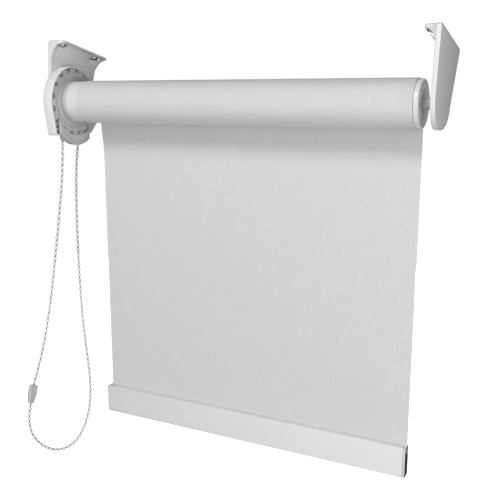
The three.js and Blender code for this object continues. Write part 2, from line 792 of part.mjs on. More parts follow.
// The origin is on the control bracket's ceiling face: above the roller, midway along the flange.
const tilt = THREE.MathUtils.degToRad(bracketTilt);
blind.position.set(
  control.plate - control.flange / 2,
  -bracketHeight * Math.sin(tilt),
  -bracketHeight * Math.cos(tilt),
);
const rollerBlind = new THREE.Group();
rollerBlind.add(blind);

export default rollerBlind;
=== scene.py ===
"""Roller blind with a side chain control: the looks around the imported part.

Shapes are written in millimetres, with x from the inner face of the control bracket's plate, and y and z
from the roller axis. PLACE takes them to the part's own frame, in metres.
"""

import json
import math

import bmesh
import bpy
from mathutils import Matrix, Vector, noise


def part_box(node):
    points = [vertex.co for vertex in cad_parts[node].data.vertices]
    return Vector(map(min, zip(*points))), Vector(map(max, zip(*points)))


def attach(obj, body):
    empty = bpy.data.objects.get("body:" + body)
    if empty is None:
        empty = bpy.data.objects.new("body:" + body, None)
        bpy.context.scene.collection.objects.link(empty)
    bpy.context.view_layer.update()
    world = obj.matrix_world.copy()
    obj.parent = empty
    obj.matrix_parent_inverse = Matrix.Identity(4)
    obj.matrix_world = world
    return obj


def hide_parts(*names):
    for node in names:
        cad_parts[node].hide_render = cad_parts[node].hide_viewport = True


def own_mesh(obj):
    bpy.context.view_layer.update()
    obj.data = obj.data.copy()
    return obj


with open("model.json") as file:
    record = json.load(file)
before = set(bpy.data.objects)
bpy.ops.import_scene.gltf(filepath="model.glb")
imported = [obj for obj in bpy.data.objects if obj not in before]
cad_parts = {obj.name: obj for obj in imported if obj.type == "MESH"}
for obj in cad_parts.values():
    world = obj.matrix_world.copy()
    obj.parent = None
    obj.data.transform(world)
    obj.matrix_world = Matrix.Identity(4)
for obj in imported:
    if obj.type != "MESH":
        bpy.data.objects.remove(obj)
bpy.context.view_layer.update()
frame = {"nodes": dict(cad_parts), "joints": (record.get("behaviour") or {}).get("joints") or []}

# ---------------------------------------------------------------- sizes
MM = 0.001
GAP = 0.3
FABRIC_WIDTH = 366.7
FABRIC_THICKNESS = 0.42
WEFT_PITCH, WARP_PITCH = 1.6, 1.5
TUBE_RADIUS = 22.2
ROLL_RADIUS = 22.92
TUBE_START = 17.4
FABRIC_START = 32.8
FABRIC_END = FABRIC_START + FABRIC_WIDTH
SHEET_Y = ROLL_RADIUS + GAP
PLUG_FACE = 404.5
IDLE_FACE = 417.3

TILT = 12
BRACKET_HEIGHT = 61
NECK = 2
FOOT = 25
TOE = 12
CORNER = 3
FLANGE = 3.2
FILLET = 19
UNDER = BRACKET_HEIGHT - FLANGE
CONTROL = dict(
    plate=4.5, flange=20, front=33, back=46, neck_front=25, neck_back=45, setback=0, corner=8,
    screw_x=9, screw_y=(-25, 31),
)
IDLE = dict(
    plate=4.5, flange=15.5, front=38, back=48, neck_front=35.5, neck_back=29, setback=4, corner=2,
    screw_x=4.9, screw_y=(-27, 29),
)

WHEEL_START, WHEEL_END = 2.6, 12.0
WHEEL_RADIUS = 36.6
BEAD_RADIUS = 2.25
CHAIN_X = 6.3
CHAIN_RADIUS = 31
NOTCH_RADIUS = 3.1
NOTCH_CENTRE = 35.4
NOTCHES = 16
HOUSING_END = 12.3
HOUSING_RADIUS = 38.8
HOUSING_FOOT = -36
GUARD_RADIUS = 35.8
GUARD_Z = -12

HEM_TOP = -342.8
HEM_HEIGHT = 32.6
HEM_DEPTH = 12
HEM_Y = SHEET_Y + FABRIC_THICKNESS / 2
SPLINE_Z = HEM_TOP - 5.2
SHEET_FOOT = SPLINE_Z + 3.2
HEM_START, HEM_END = FABRIC_START - 2, FABRIC_END - 2.5
CAP_WIDTH = 2

FRONT_STRAND = [
    (6.3, -17, -46), (6.3, -17.2, -50), (6.2, -18.6, -64), (5.6, -20.4, -86), (4.5, -24.6, -115),
    (1.7, -32, -165), (-2.7, -39.9, -220), (-8, -48.4, -269), (-12.4, -55.6, -299), (-16.6, -61.2, -320.6),
]
BACK_STRAND = [
    (-19, -65.8, -343.8), (-20.2, -68.4, -362), (-19.2, -66, -381), (-15.1, -55.7, -398.5), (-9, -40, -410.5),
    (-2.6, -24, -412.5), (2.6, -11, -405), (7, -0.5, -388), (9.6, 5.6, -364), (10.4, 7.2, -338),
    (9.6, 5.7, -309), (7.7, 2.2, -257), (6.9, 0.6, -195), (6.6, 1.2, -135), (6.4, 3.6, -88), (6.3, 6.6, -64),
    (6.3, 9.2, -50), (6.3, 9.5, -46),
]
BEAD_SPACING = 2 * math.pi * CHAIN_RADIUS / (2 * NOTCHES)
STRING_RADIUS = 1.0

joints = {joint["name"]: joint for joint in frame["joints"]}
axis_y, axis_z = joints["roller_spin"]["pos_m"][1:]
ORIGIN = Vector((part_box("clutch_housing")[0].x - GAP * MM, axis_y, axis_z))
PLACE = Matrix.Translation(ORIGIN) @ Matrix.Scale(MM, 4)
LEAN = PLACE @ Matrix.Rotation(-math.radians(TILT), 4, "X")
LEAN_IDLE = LEAN @ Matrix.Translation((IDLE_FACE, 0, 0)) @ Matrix.Scale(-1, 4, (1, 0, 0))


# ---------------------------------------------------------------- outlines
def arc(radius, start, end, steps, y=0, z=0):
    """Points of an arc about (y, z), with angles in degrees from +Y towards +Z."""
    angles = [math.radians(start + (end - start) * i / steps) for i in range(steps + 1)]
    return [Vector((y + radius * math.cos(a), z + radius * math.sin(a))) for a in angles]


def soften(points, radius, closed=True, steps=4):
    """Rounds each corner over at most radius along its two sides."""
    points = [Vector(point) for point in points]
    result = []
    for i, corner in enumerate(points):
        if not closed and i in (0, len(points) - 1):
            result.append(corner)
            continue
        ends = []
        for other in (points[i - 1], points[(i + 1) % len(points)]):
            side = other - corner
            ends.append(corner + side.normalized() * min(radius, side.length * 0.45))
        for k in range(steps + 1):
            t = k / steps
            result.append(ends[0] * (1 - t) ** 2 + corner * (2 * t * (1 - t)) + ends[1] * t**2)
    return result


def inset(loop, distance):
    """Moves a closed outline inwards by distance."""
    after = [(loop[(i + 1) % len(loop)] - point).normalized() for i, point in enumerate(loop)]
    area = sum(a.x * b.y - b.x * a.y for a, b in zip(loop, loop[1:] + loop[:1]))
    way = distance if area > 0 else -distance
    result = []
    for i, point in enumerate(loop):
        normal = Vector((-after[i].y, after[i].x))
        middle = (normal + Vector((-after[i - 1].y, after[i - 1].x))).normalized()
        result.append(point + middle * way / max(middle.dot(normal), 0.4))
    return result


def rectangle(y, z):
    return [Vector((y[0], z[0])), Vector((y[1], z[0])), Vector((y[1], z[1])), Vector((y[0], z[1]))]


# ---------------------------------------------------------------- shapes
def loft(loops, capped=True):
    """Faces between loops of equal length, and one over each end."""
    count = len(loops[0])
    faces = []
    for low in range(0, (len(loops) - 1) * count, count):
        for i in range(count):
            j = (i + 1) % count
            faces.append((low + i, low + j, low + count + j, low + count + i))
    if capped:
        last = (len(loops) - 1) * count
        faces += [tuple(reversed(range(count))), tuple(range(last, last + count))]
    return [point for loop in loops for point in loop], faces


def slab(loop, start, end, edge=0.4, steps=3):
    """An outline in Y and Z between two stations along X, with rounded edges."""
    quarter = [math.radians(90 * k / steps) for k in range(steps + 1)]
    stations = [(start + edge * (1 - math.sin(a)), edge * (1 - math.cos(a))) for a in reversed(quarter)]
    stations += [(end - edge * (1 - math.sin(a)), edge * (1 - math.cos(a))) for a in quarter]
    return loft([[(x, *point) for point in inset(loop, depth)] for x, depth in stations])


def lathe(profile, segments=128, shape=None):
    """(x, radius) points turned about X. A profile that ends where it starts makes a ring.
    shape changes a radius by its station and angle."""
    loops = []
    for x, radius in profile:
        loop = []
        for i in range(segments):
            angle = 2 * math.pi * i / segments
            reach = shape(x, radius, angle) if shape else radius
            loop.append((x, reach * math.cos(angle), reach * math.sin(angle)))
        loops.append(loop)
    ring = (Vector(profile[0]) - Vector(profile[-1])).length < 1e-6
    return loft(loops, capped=not ring)


def closed(profile):
    return [*profile, profile[0]]


def mesh_object(name, shape, place=PLACE):
    points, faces = shape
    mesh = bpy.data.meshes.new(name)
    mesh.from_pydata([place @ Vector(point) for point in points], [], faces)
    work = bmesh.new()
    work.from_mesh(mesh)
    bmesh.ops.remove_doubles(work, verts=work.verts, dist=2e-6)
    bmesh.ops.dissolve_degenerate(work, dist=1e-7, edges=work.edges)
    bmesh.ops.recalc_face_normals(work, faces=work.faces)
    work.to_mesh(mesh)
    work.free()
    made = bpy.data.objects.new(name, mesh)
    bpy.context.scene.collection.objects.link(made)
    return made


def bevel(made, width, crease=35, segments=3):
    """Rounds the edges that are sharper than crease degrees."""
    work = bmesh.new()
    work.from_mesh(made.data)
    sharp = [e for e in work.edges if e.is_manifold and e.calc_face_angle(0) > math.radians(crease)]
    bmesh.ops.bevel(
        work, geom=sharp, offset=width * MM, segments=segments, profile=0.5, affect="EDGES",
        clamp_overlap=False, miter_outer="ARC",
    )
    bmesh.ops.remove_doubles(work, verts=work.verts, dist=2e-6)
    work.to_mesh(made.data)
    work.free()
    return made


def combine(made, other, operation="DIFFERENCE"):
    """Cuts other out of made, or joins it on, and removes other."""
    modifier = made.modifiers.new("combine", "BOOLEAN")
    modifier.object, modifier.operation, modifier.solver = other, operation, "MANIFOLD"
    bpy.context.view_layer.update()
    made.data = bpy.data.meshes.new_from_object(
        made.evaluated_get(bpy.context.evaluated_depsgraph_get())
    )
    made.modifiers.clear()
    bpy.data.objects.remove(other)
    return made


def cut(made, shape, place=PLACE):
    return combine(made, mesh_object("cutter", shape, place))


def upright(x, y, profile, segments=48):
    """(z, radius) points turned about the upright line through (x, y)."""
    points, faces = lathe(profile, segments)
    return [(x + p[1], y + p[2], p[0]) for p in points], faces


def block(x, y, z):
    return loft([[(at, *point) for point in rectangle(y, z)] for at in x])


def finish_piece(made, look, body, slot, *nodes, crease=35):
    """Gives a piece its material, its body and the nodes that it stands for, which are hidden. The slot is not
    used.
    """
    made.data.materials.clear()
    made.data.materials.append(look)
    made.data.shade_smooth()
    made.data.set_sharp_from_angle(angle=math.radians(crease))
    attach(made, body)
    if nodes:
        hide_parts(*nodes)
    return made


# ---------------------------------------------------------------- materials
def principled(name, colour, roughness, **sockets):
    material = bpy.data.materials.new(name)
    material.use_nodes = True
    tree = material.node_tree
    shader = tree.nodes["Principled BSDF"]
    shader.inputs["Base Color"].default_value = (*colour, 1)
    shader.inputs["Roughness"].default_value = roughness
    for socket, value in sockets.items():
        shader.inputs[socket.replace("_", " ")].default_value = value
    return material, tree, shader


def add_node(tree, kind, links=(), **settings):
    """A node with settings, and links or plain values for its inputs."""
    made = tree.nodes.new(f"ShaderNode{kind}")
    for key, value in settings.items():
        setattr(made, key, value)
    for key, value in dict(links).items():
        if isinstance(value, bpy.types.NodeSocket):
            tree.links.new(value, made.inputs[key])
        else:
            made.inputs[key].default_value = value
    return made


def math_node(tree, operation, a, b=0.0):
    return add_node(tree, "Math", {0: a, 1: b}, operation=operation).outputs[0]


def speckle(tree, where, scale, detail=3, rough=0.55):
    """Noise around 0.5."""
    links = {"Vector": where, "Scale": scale, "Detail": detail, "Roughness": rough}
    return add_node(tree, "TexNoise", links).outputs["Fac"]


def between(tree, value, low, high, source=(0.3, 0.7)):
    """value from its source range to low … high."""
    links = {"Value": value, 1: source[0], 2: source[1], 3: low, 4: high}
    return add_node(tree, "MapRange", links).outputs[0]


def tint(tree, value, first, second):
    """A colour between two, by value."""
    links = {0: value, 6: (*first, 1), 7: (*second, 1)}
    return add_node(tree, "Mix", links, data_type="RGBA").outputs[2]


def weighted(tree, a, share_a, b, share_b):
    """a and b, each times its share, added."""
    left = math_node(tree, "MULTIPLY", a, share_a)
    right = math_node(tree, "MULTIPLY", b, share_b)
    return math_node(tree, "ADD", left, right)


def stretched(tree, where, scale):
    """Coordinates scaled per axis, so that a noise runs in streaks."""
    return add_node(tree, "Mapping", {"Vector": where, "Scale": scale}).outputs[0]


def bumped(material, strength, distance, height):
    """The material, with its surface raised by height."""
    tree = material.node_tree
    bump = add_node(tree, "Bump", {"Strength": strength, "Distance": distance, "Height": height})
    tree.links.new(bump.outputs[0], tree.nodes["Principled BSDF"].inputs["Normal"])
    return material


def scaled(colour, factor):
    return tuple(min(1, channel * factor) for channel in colour)


def moulded(name, colour, roughness, grain=0.05, grain_scale=2600, worn=1.05, **sockets):
    """Moulded plastic: faint flow marks, uneven gloss, fine surface grain and paler edges."""
    material, tree, shader = principled(name, colour, roughness, **sockets)
    where = add_node(tree, "TexCoord").outputs["Object"]
    flow = speckle(tree, where, 28, 4)
    edge = between(tree, add_node(tree, "NewGeometry").outputs["Pointiness"], 0, 1, (0.5, 0.6))
    shade = weighted(tree, flow, 0.7, edge, 0.4)
    mixed = tint(tree, between(tree, shade, 0, 1, (0.2, 0.75)), scaled(colour, 0.955), scaled(colour, worn))
    tree.links.new(mixed, shader.inputs["Base Color"])
    gloss = speckle(tree, where, 160, 5, 0.65)
    tree.links.new(between(tree, gloss, roughness * 0.85, roughness * 1.2), shader.inputs["Roughness"])
    height = weighted(tree, speckle(tree, where, grain_scale, 2), 1, speckle(tree, where, 90, 2), 0.6)
    return bumped(material, grain, 0.0004, height)


def coated(name, colour, roughness, peel=0.12, **sockets):
    """Powder coat: orange peel with faint lines along the extrusion."""
    material, tree, shader = principled(name, colour, roughness, **sockets)
    where = add_node(tree, "TexCoord").outputs["Object"]
    lines = speckle(tree, stretched(tree, where, (4, 900, 900)), 1, 3)
    cells = speckle(tree, where, 1500, 3)
    shade = weighted(tree, lines, 0.4, cells, 0.6)
    mixed = tint(tree, between(tree, shade, 0, 1, (0.35, 0.65)), scaled(colour, 0.965), scaled(colour, 1.03))
    tree.links.new(mixed, shader.inputs["Base Color"])
    tree.links.new(between(tree, cells, roughness * 0.85, roughness * 1.2), shader.inputs["Roughness"])
    return bumped(material, peel, 0.0003, shade)


def drawn_steel(name, colour, roughness):
    """Plated steel: fine scratches and dull patches."""
    material, tree, shader = principled(name, colour, roughness, Metallic=1.0)
    where = add_node(tree, "TexCoord").outputs["Object"]
    scratch = speckle(tree, stretched(tree, where, (300, 3000, 300)), 1, 4)
    patch = speckle(tree, where, 420, 4)
    mixed = tint(tree, between(tree, patch, 0, 1, (0.35, 0.7)), scaled(colour, 0.75), scaled(colour, 1.15))
    tree.links.new(mixed, shader.inputs["Base Color"])
    tree.links.new(between(tree, patch, roughness * 1.4, roughness * 0.8), shader.inputs["Roughness"])
    return bumped(material, 0.15, 0.0001, scratch)


def woven(name, colour, around_roller=False):
    """Coated basket weave, with threads of uneven thickness and tone. On the roll it runs round the roller."""
    material, tree, shader = principled(
        name, colour, 0.78, Sheen_Weight=0.18, Sheen_Roughness=0.5, Specular_IOR_Level=0.3
    )
    where = add_node(tree, "TexCoord").outputs["Object"]
    axes = add_node(tree, "SeparateXYZ", {0: where})
    width, drop = axes.outputs["X"], axes.outputs["Z"]
    if around_roller:
        y = math_node(tree, "SUBTRACT", axes.outputs["Y"], ORIGIN.y)
        z = math_node(tree, "SUBTRACT", axes.outputs["Z"], ORIGIN.z)
        drop = math_node(tree, "MULTIPLY", math_node(tree, "ARCTAN2", z, y), ROLL_RADIUS * MM)
    flat = add_node(tree, "CombineXYZ", {"X": width, "Y": drop}).outputs[0]
    drift = math_node(tree, "MULTIPLY", math_node(tree, "SUBTRACT", speckle(tree, flat, 60, 2), 0.5), 0.0012)
    u = math_node(tree, "MULTIPLY", math_node(tree, "ADD", width, drift), 2 * math.pi / (WEFT_PITCH * MM))
    v = math_node(tree, "MULTIPLY", math_node(tree, "ADD", drop, drift), 2 * math.pi / (WARP_PITCH * MM))
    weft = math_node(tree, "SINE", math_node(tree, "ADD", u, v))
    warp = math_node(tree, "SINE", math_node(tree, "SUBTRACT", u, math_node(tree, "MULTIPLY", v, 0.5)))
    cross = math_node(tree, "MULTIPLY", math_node(tree, "SINE", u), math_node(tree, "SINE", v))
    weave = weighted(tree, weighted(tree, weft, 0.6, warp, 0.25), 1, cross, 0.5)
    along_x = speckle(tree, stretched(tree, flat, (45, 900, 1)), 1, 3)
    along_z = speckle(tree, stretched(tree, flat, (900, 45, 1)), 1, 3)
    slub = math_node(tree, "ADD", along_x, along_z)
    shade = weighted(tree, weave, 0.8, slub, 0.45)
    mixed = tint(tree, between(tree, shade, 0, 1, (-0.5, 1.4)), scaled(colour, 0.7), scaled(colour, 1.22))
    tree.links.new(mixed, shader.inputs["Base Color"])
    tree.links.new(between(tree, slub, 0.68, 0.88, (0.7, 1.3)), shader.inputs["Roughness"])
    return bumped(material, 0.35, 0.00025, math_node(tree, "ADD", weave, slub))


looks = {
    "bracket_plastic": moulded("bracket_plastic", (0.80, 0.80, 0.80), 0.42, grain=0.04),
    "housing_plastic": moulded("housing_plastic", (0.84, 0.84, 0.84), 0.26, grain=0.03),
    "grey_plastic": moulded("grey_plastic", (0.56, 0.57, 0.58), 0.4, grain=0.08),
    "dark_plastic": moulded("dark_plastic", (0.05, 0.05, 0.055), 0.5, grain=0.1, worn=1.3),
    "cap_plastic": moulded("cap_plastic", (0.72, 0.72, 0.72), 0.45),
    # Near-black material for the idle cap's outer end face: painted shade.
    "cap_face_painted_shade": moulded("cap_face_painted_shade", (0.06, 0.06, 0.065), 0.4, grain=0.1, worn=1.3),
    "tube_aluminium": coated("tube_aluminium", (0.78, 0.78, 0.78), 0.42),
    "hem_aluminium": coated("hem_aluminium", (0.80, 0.80, 0.80), 0.4),
    "tape": moulded("tape", (0.72, 0.69, 0.58), 0.35),
    "fabric": woven("fabric", (0.735, 0.735, 0.737)),
    "fabric_rolled": woven("fabric_rolled", (0.735, 0.735, 0.737), around_roller=True),
    "screw_steel": drawn_steel("screw_steel", (0.55, 0.55, 0.56), 0.28),
    "spring_steel": drawn_steel("spring_steel", (0.42, 0.42, 0.44), 0.35),
    "chain_plastic": moulded("chain_plastic", (0.84, 0.84, 0.83), 0.22, grain=0.02),
    # The chain string's dark grey is painted shade between the beads.
    "chain_string_painted_shade": moulded("chain_string_painted_shade", (0.2, 0.2, 0.2), 0.6, grain=0.3, worn=1.4),
    "connector_plastic": moulded(
        "connector_plastic", (0.70, 0.69, 0.65), 0.24, grain=0.02, Transmission_Weight=0.12, IOR=1.46
    ),
}


# ---------------------------------------------------------------- chain
def smooth_route(points, per_span=24):
    """Centripetal Catmull-Rom curve through points, as close samples."""
    through = [Vector(point) for point in points]
    through = [2 * through[0] - through[1], *through, 2 * through[-1] - through[-2]]
    route = []
    for p, a, b, n in zip(through, through[1:], through[2:], through[3:]):
        before, span, after = ((q - r).length ** 0.5 for q, r in ((a, p), (b, a), (n, b)))
        start = ((a - p) / before - (b - p) / (before + span) + (b - a) / span) * span
        end = ((b - a) / span - (n - a) / (span + after) + (n - b) / after) * span
        for k in range(per_span):
            t = k / per_span
            route.append(
                a * (2 * t**3 - 3 * t**2 + 1) + start * (t**3 - 2 * t**2 + t)
                + b * (3 * t**2 - 2 * t**3) + end * (t**3 - t**2)
            )
    return [*route, through[-2]]


def travelled(route):
    """Distance of each point along a route."""
    total = [0.0]
    for a, b in zip(route, route[1:]):
        total.append(total[-1] + (b - a).length)
    return total


def at_distance(route, total, distance):
    """The point at a distance along a route, and the direction there."""
    i = next((k for k, d in enumerate(total[1:]) if d >= distance), len(total) - 2)
    t = (distance - total[i]) / (total[i + 1] - total[i])
    return route[i].lerp(route[i + 1], t), (route[i + 1] - route[i]).normalized()


def frame_along(direction):
    side = direction.cross(Vector((1, 0, 0))).normalized()
    return side, side.cross(direction).normalized()


def string_and_beads(points, offset):
    """A string along a route, threaded through moulded beads with short necks, the first one at offset.
    Gives the shape, the route and how many of the faces are the string's."""
    route = smooth_route(points)
    total = travelled(route)
    length = total[-1]
    shape_points, faces = [], []

    def sweep(stations, sides):
        base = len(shape_points)
        loops = []
        for distance, radius in stations:
            centre, direction = at_distance(route, total, min(max(distance, 0), length))
            side, other = frame_along(direction)
            angles = [2 * math.pi * k / sides for k in range(sides)]
            loops.append([centre + (side * math.cos(a) + other * math.sin(a)) * radius for a in angles])
        more_points, more_faces = loft(loops)
        shape_points.extend(more_points)
        faces.extend(tuple(base + i for i in face) for face in more_faces)

    steps = max(8, int(length / 3))
    sweep([(length * k / steps, STRING_RADIUS) for k in range(steps + 1)], 8)
    string_faces = len(faces)
    bead = [(math.radians(a), BEAD_RADIUS) for a in range(18, 163, 12)]
    collar = 0.95
    distance = offset
    while distance < length - BEAD_RADIUS * 0.6:
        reach = BEAD_RADIUS + 0.35
        body = [(distance - math.cos(a) * r, math.sin(a) * r) for a, r in bead]
        ends = [(distance - reach, collar * 0.8), (distance - reach + 0.15, collar)]
        mirrored = [(2 * distance - x, r) for x, r in reversed(ends)]
        sweep([*ends, *body, *mirrored], 16)
        distance += BEAD_SPACING
    return (shape_points, faces), route, string_faces


def chain_strand(name, points, offset, node):
    shape, route, string_faces = string_and_beads(points, offset)
    made = mesh_object(name, shape)
    finish_piece(made, looks["chain_plastic"], "brackets", "chain_plastic", node, crease=50)
    # The string's faces get the dark grey material: painted shade in the gaps between the beads.
    made.data.materials.append(looks["chain_string_painted_shade"])
    for face in made.data.polygons[:string_faces]:
        face.material_index = 1
    return made, [PLACE @ point for point in route]


def wheel_route():
    """Up from the back strand, over the wheel and down to the front strand."""
    up = [(9.5, -45.4), (9.5, -42), (14.5, -34), (24, -24.5)]
    down = [(-25, -24.5), (-21, -34), (-17, -42), (-17, -45.4)]
    return [(CHAIN_X, y, z) for y, z in (*up, *arc(CHAIN_RADIUS, -22, 202, 32), *down)]


def wheel_offset(points):
    """Where the first bead goes, so that one sits at the wheel's top."""
    route = smooth_route(points)
    total = travelled(route)
    top = max(range(len(route)), key=lambda i: route[i].z)
    return total[top] % BEAD_SPACING


def connector():
    """Flat clip between the strands, wide above and narrower below, with a bead's pocket at each end."""
    start, end = Vector(FRONT_STRAND[-1]), Vector(BACK_STRAND[0])
    down = (end - start).normalized()
    room = 2 * GAP
    length = (end - start).length - 2 * room
    facing = Vector((0.35, 1, 0))
    wide = (facing - down * facing.dot(down)).normalized()
    shoulder = length * 0.55
    side = [(4, 0), (5, 1.5), (5, shoulder), (3, length - 1), (2.4, length)]
    loop = soften([*side, *[(-u, v) for u, v in reversed(side)]], 1.2)
    clip = slab(loop, -2, 2, 0.7)
    turn = Matrix((wide.cross(down), wide, down)).transposed().to_4x4()
    place = PLACE @ Matrix.Translation(start + down * room) @ turn
    made = mesh_object("connector_clip", clip, place)
    for depths in ((-3.2, -1.1), (1.1, 3.2)):
        for low, high, half in ((1.6, 7.6, 2.4), (9.4, length - 2.6, 1.7)):
            pocket = soften(rectangle((-half, half), (low, high)), half * 0.8)
            cut(made, loft([[(x, *point) for point in pocket] for x in depths]), place)
    return finish_piece(made, looks["connector_plastic"], "brackets", "connector_plastic", "chain_connector")


clip = connector()
front, front_route = chain_strand("chain_front_beads", FRONT_STRAND, 2.4, "chain_front")
back, back_route = chain_strand("chain_back_beads", BACK_STRAND[::-1], 3.2, "chain_back")
over = wheel_route()
chain_strand("chain_wheel_beads", over, wheel_offset(over), "chain_over_sprocket")


# ---------------------------------------------------------------- brackets
def bracket_levels():
    """Where the bracket is cut, from the foot up: angles down the foot's ellipses, heights along the
    sides and the hollow fillet, and angles round the top corners."""
    foot = [("foot", math.radians(angle)) for angle in (87, 84, 80, 74, 66, 57, 47, 36, 24, 12)]
    sides = [("side", z) for z in (NECK, 12, 24, UNDER - FILLET)]
    hollow = [("side", UNDER - FILLET * (1 - math.cos(math.radians(a)))) for a in range(84, -1, -7)]
    top = BRACKET_HEIGHT - CORNER
    corner = [("corner", math.radians(a)) for a in (0, 18, 36, 54, 72, 90)]
    return [*foot, *sides, *hollow, ("side", top - 0.01), *corner]


def bracket_section(sizes, kind, at):
    """The bracket's cut at one height, as x, y and z points."""
    top = BRACKET_HEIGHT - CORNER
    if kind == "foot":
        z = NECK - (NECK + FOOT) * math.sin(at)
        low = -TOE - (sizes["neck_front"] - TOE) * math.cos(at)
        high = -TOE + (sizes["neck_back"] + TOE) * math.cos(at)
    elif kind == "side":
        z = at
        share = (z - NECK) / (top - NECK)
        low = -(sizes["neck_front"] + (sizes["front"] - sizes["neck_front"]) * share)
        high = sizes["neck_back"] + (sizes["back"] - sizes["neck_back"]) * share
    else:
        z = top + CORNER * math.sin(at)
        pulled = CORNER * (1 - math.cos(at))
        low, high = -sizes["front"] + pulled, sizes["back"] - pulled
    full = sizes["flange"] - sizes["plate"]
    cosine = 1 - (UNDER - z) / FILLET
    reach = 0 if cosine <= 0 else full * (1 - math.sin(math.acos(min(1, cosine))))
    start = -sizes["front"] + sizes["setback"]
    round_corner = arc(sizes["corner"], 270, 360, 8, full - sizes["corner"], start + sizes["corner"])
    plate = -sizes["plate"]
    points = [(plate, low), (0, low), (0, start), *round_corner, (reach, high), (plate, high)]
    return [(min(x, reach), max(y, low), z) for x, y in points]


def bracket(name, sizes, place):
    made = mesh_object(name, loft([bracket_section(sizes, *level) for level in bracket_levels()]), place)
    bevel(made, 0.6)
    for y in sizes["screw_y"]:
        x = sizes["screw_x"]
        hole = [(UNDER - 1, 2.4), (UNDER + 2.6, 2.4), (BRACKET_HEIGHT + 0.6, 3)]
        seat = [(UNDER - FILLET - 1, 6.5), (UNDER - 0.4, 6.5), (UNDER, 6.1)]
        cut(made, upright(x, y, hole), place)
        cut(made, upright(x, y, seat), place)
    return made


def pan_screw(name, x, y, place, node):
    """Pan head screw with a cross recess, head down."""
    seat = UNDER - GAP
    head = [(seat - 2.6, 2.2), (seat - 2.5, 3.4), (seat - 2.0, 4.7), (seat - 1.2, 5.4), (seat - 0.5, 5.6),
            (seat - 0.1, 5.55), (seat, 5.4)]
    threads = [(seat + 0.2 + 0.35 * i, 2.1 if i % 2 else 1.8) for i in range(8)]
    made = mesh_object(name, upright(x, y, [*head, (seat, 2.1), *threads, (seat + FLANGE, 1.8)]), place)
    for long, wide in ((2.8, 0.7), (0.7, 2.8)):
        stations = [(seat - 3.2, 1.0), (seat - 1.3, 0.55)]
        corners = [(-1, -1), (1, -1), (1, 1), (-1, 1)]
        arm = [[(x + long * s * i, y + wide * s * j, z) for i, j in corners] for z, s in stations]
        cut(made, loft(arm), place)
    return finish_piece(made, looks["screw_steel"], "brackets", "screw_steel", node, crease=30)


def build_brackets():
    control = bracket("control_bracket_moulding", CONTROL, LEAN)
    countersink = [(-5.5, 5.9), (-4.5, 4.9), (-1.8, 2.6), (1, 2.6)]
    cut(control, lathe(countersink, 48), LEAN)
    idle = bracket("idle_bracket_moulding", IDLE, LEAN_IDLE)
    cut(idle, lathe([(-3.5, 3.6), (-3.2, 3.8), (-0.3, 3.8), (0.2, 4.3)], 48), LEAN_IDLE)
    slot = "bracket_plastic"
    finish_piece(control, looks[slot], "brackets", slot, "control_bracket")
    finish_piece(idle, looks[slot], "brackets", slot, "idle_bracket")
    for side, sizes, place in (("control", CONTROL, LEAN), ("idle", IDLE, LEAN_IDLE)):
        for end, y in zip(("front", "back"), sizes["screw_y"]):
            name = f"{side}_screw_{end}"
            pan_screw(name, sizes["screw_x"], y, place, f"{side}_bracket_screw_{end}")


build_brackets()


# ---------------------------------------------------------------- clutch
def housing_outline():
    corners = [Vector((-33, HOUSING_FOOT)), Vector((28, HOUSING_FOOT)), Vector((39.5, -24))]
    curve = arc(HOUSING_RADIUS, -18, 190, 72)
    tail = soften([curve[-1], *corners, curve[0]], 2.2, closed=False)[1:-1]
    return [*curve, *tail]


def housing():
    """Open box round the wheel, with a rounded rim and a mouth for the chain in its foot.
    Each station is a place along X and how far the outline is inset there."""
    loop = housing_outline()
    floor = GAP + 2
    outer = [(GAP, 0.8), (GAP + 0.25, 0.25), (GAP + 0.9, 0), (HOUSING_END - 0.5, 0), (HOUSING_END - 0.15, 0.15)]
    wall = 1.7
    inner = [(HOUSING_END, 0.5), (HOUSING_END, 1.2), (HOUSING_END - 0.15, wall - 0.15)]
    inner += [(HOUSING_END - 0.5, wall), (floor + 0.4, wall), (floor + 0.1, wall + 0.1), (floor, wall + 0.4)]
    shell = loft([[(x, *point) for point in inset(loop, depth)] for x, depth in [*outer, *inner]])
    made = mesh_object("clutch_housing_shell", shell)
    cut(made, block((floor + 0.5, HOUSING_END + 1), (-24.5, 18.5), (HOUSING_FOOT - 2, HOUSING_FOOT + 3)))
    return finish_piece(made, looks["housing_plastic"], "brackets", "housing_plastic", "clutch_housing")


def guard():
    """Skirt in front of the chain, with grooves that follow its edge and a ledge under the housing."""
    front_face = HOUSING_END + GAP + 3.3
    edge = [p for p in arc(GUARD_RADIUS, 205, 335, 120, 0, GUARD_Z) if -29 <= p.x <= 20]
    first = Vector((-29, GUARD_Z - math.sqrt(GUARD_RADIUS**2 - 29**2)))
    last = Vector((20, GUARD_Z - math.sqrt(GUARD_RADIUS**2 - 20**2)))
    clear = WHEEL_RADIUS + GAP
    rim = [Vector((y, -math.sqrt(clear**2 - y**2))) for y in [20 - 49 * k / 40 for k in range(41)]]
    made = mesh_object("guard_skirt", slab([first, *edge, last, *rim], HOUSING_END + GAP, front_face, 0.5))
    low = HOUSING_FOOT - GAP
    shelf = [p for p in edge if p.y <= low]
    shelf = [Vector((shelf[0].x, low)), *shelf, last, Vector((20, low))]
    ledge = slab(shelf, HOUSING_END - 3, HOUSING_END + 1, 0.3)
    combine(made, mesh_object("ledge", ledge), "UNION")
    for radius in (31.2, 34.2):
        ring = [(-0.7, 0.2), (-0.7, 0.6), (-0.2, 0.8), (1, 0.9), (1, -0.1), (-0.2, 0)]
        ring = [(front_face + x, radius + r) for x, r in ring]
        cut(made, lathe(closed(ring), 160), PLACE @ Matrix.Translation((0, 0, GUARD_Z)))
    return finish_piece(made, looks["grey_plastic"], "brackets", "grey_plastic", "chain_guard")


